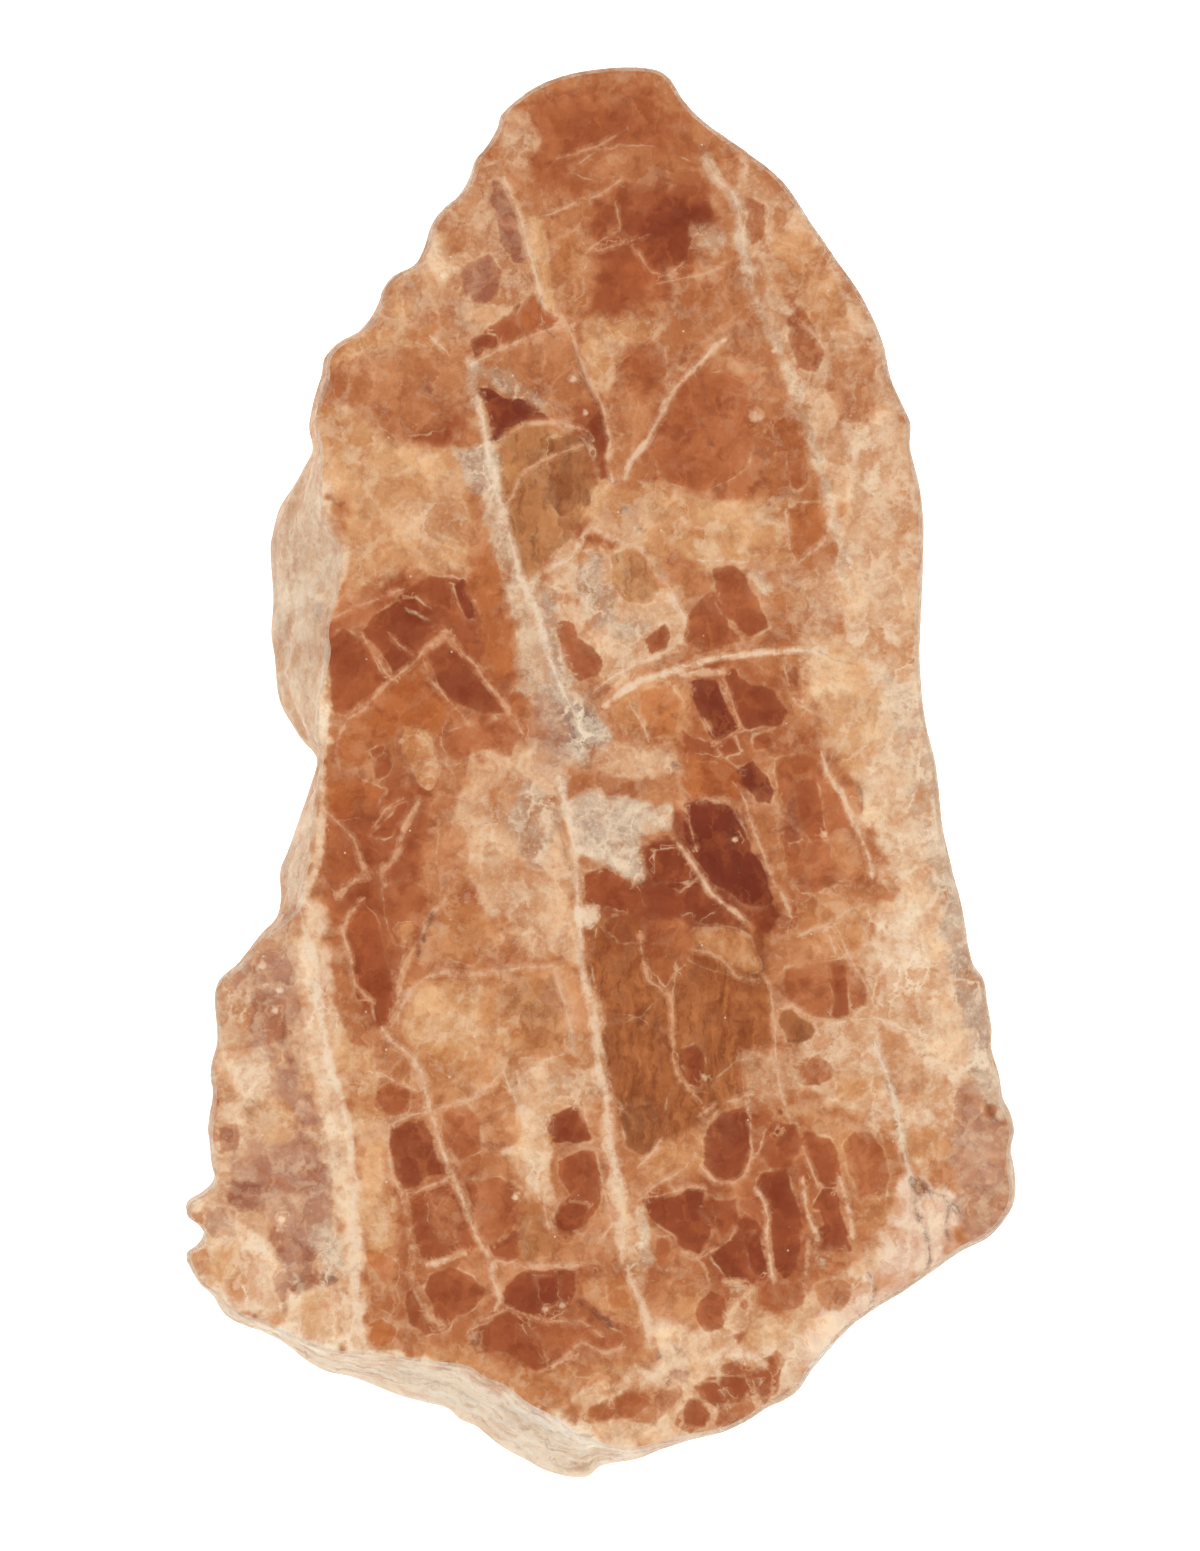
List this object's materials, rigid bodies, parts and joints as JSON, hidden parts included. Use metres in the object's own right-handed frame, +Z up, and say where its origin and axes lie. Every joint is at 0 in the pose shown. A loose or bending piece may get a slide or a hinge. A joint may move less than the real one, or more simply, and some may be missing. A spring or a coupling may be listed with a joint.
{
  "type": "hessonite slice",
  "caption": "Flat polished slice of orange-brown hessonite garnet with cream veins and a rough natural edge, lying on its sawn back as a mineral specimen.",
  "frame": {"origin": "middle of the bounding box in X and Y, on the sawn back that the slice lies on", "axes": "+Z up out of the polished face, +Y towards the narrow end, +X towards the ground lower right corner"},
  "size_m": [0.0442, 0.075, 0.008],
  "materials": {
    "hessonite": "polished"
  },
  "bodies": {
    "root": {"hessonite_slice": "hessonite"}
  },
  "joints": []
}
